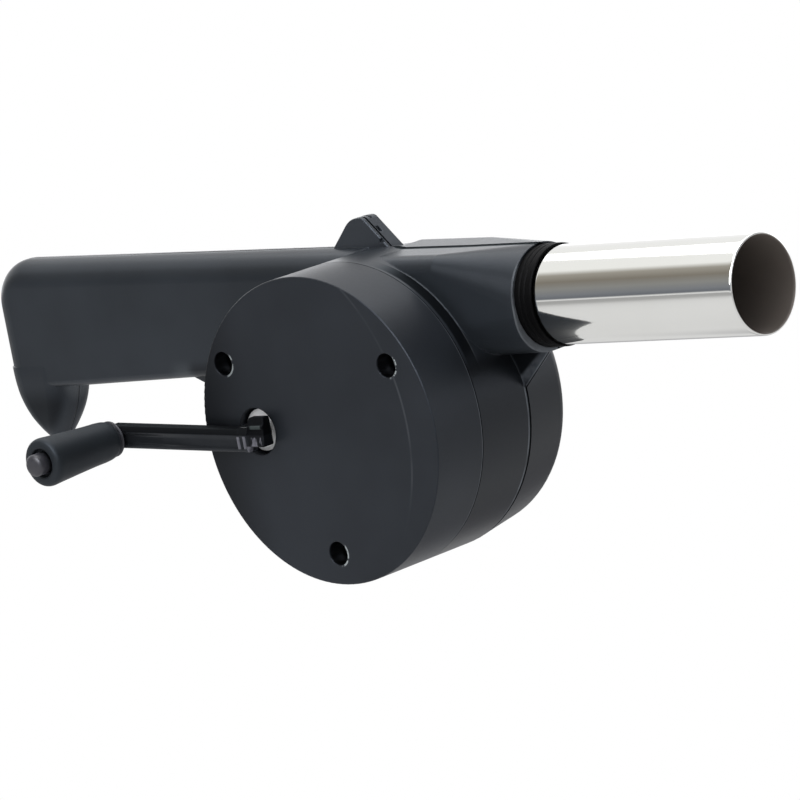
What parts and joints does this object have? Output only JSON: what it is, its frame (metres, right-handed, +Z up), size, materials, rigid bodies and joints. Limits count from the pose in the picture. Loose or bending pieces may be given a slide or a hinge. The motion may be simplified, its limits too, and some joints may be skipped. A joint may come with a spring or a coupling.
{
  "type": "hand crank fan",
  "caption": "Hand crank air blower: flat drum with a crank and gear train on one face, a hooked flat handle, and a round polished outlet tube.",
  "frame": {"origin": "centre of the drum's flat crank-side face, on the drum's axis", "axes": "+X along the outlet tube towards its mouth, +Y along the drum's axis away from the crank, +Z up, from the hook towards the snap ear"},
  "size_m": [0.2658, 0.0872, 0.0879],
  "materials": {
    "casing_black": "satin moulded, fine texture",
    "cover_black": "satin moulded, fine texture",
    "tube_steel": "polished stainless",
    "sleeve_black": "plain",
    "screw_steel": "zinc plated",
    "bush_brass": "sintered",
    "shaft_steel": "ground",
    "washer_steel": "zinc plated",
    "arm_black": "gloss",
    "knob_black": "fine texture",
    "pin_black": "blackened",
    "gear_nylon": "natural",
    "fan_plastic": "plain"
  },
  "bodies": {
    "casing": {"front_shell": "casing_black", "rear_shell": "casing_black", "gear_cover": "cover_black", "outlet_tube": "tube_steel", "tube_sleeve": "sleeve_black", "cover_screws": "screw_steel", "shell_screws": "screw_steel", "crank_bush": "bush_brass", "fan_bush": "bush_brass", "first_idler_pin": "shaft_steel", "second_idler_pin": "shaft_steel"},
    "crank": {"crank_shaft": "shaft_steel", "crank_washer": "washer_steel", "crank_arm": "arm_black", "drive_gear": "gear_nylon", "knob_pin": "pin_black"},
    "knob": {"knob": "knob_black"},
    "first_idler": {"first_idler_gear": "gear_nylon"},
    "second_idler": {"second_idler_gear": "gear_nylon"},
    "fan": {"fan_shaft": "shaft_steel", "fan_pinion": "gear_nylon", "impeller": "fan_plastic", "fan_nut": "screw_steel"}
  },
  "joints": [
    {"name": "crank_spin", "type": "hinge", "parent": "casing", "child": "crank", "pos_m": [-0.0215, 0, 0.0005], "axis": [0, -1, 0], "continuous": true},
    {"name": "knob_spin", "type": "hinge", "parent": "crank", "child": "knob", "pos_m": [-0.0705, -0.018, 0.0008], "axis": [0, -1, 0], "continuous": true},
    {"name": "first_idler_spin", "type": "hinge", "parent": "casing", "child": "first_idler", "pos_m": [-0.0095, 0.01, -0.01345], "axis": [0, -1, 0], "continuous": true},
    {"name": "second_idler_spin", "type": "hinge", "parent": "casing", "child": "second_idler", "pos_m": [0.00721, 0.0135, -0.01517], "axis": [0, -1, 0], "continuous": true},
    {"name": "fan_spin", "type": "hinge", "parent": "casing", "child": "fan", "pos_m": [0, 0.03, 0], "axis": [0, -1, 0], "continuous": true}
  ],
  "couplings": [
    {"joint": "first_idler_spin", "follows": "crank_spin", "ratio": -2.8333},
    {"joint": "second_idler_spin", "follows": "crank_spin", "ratio": 7.0833},
    {"joint": "fan_spin", "follows": "crank_spin", "ratio": -17.708}
  ]
}
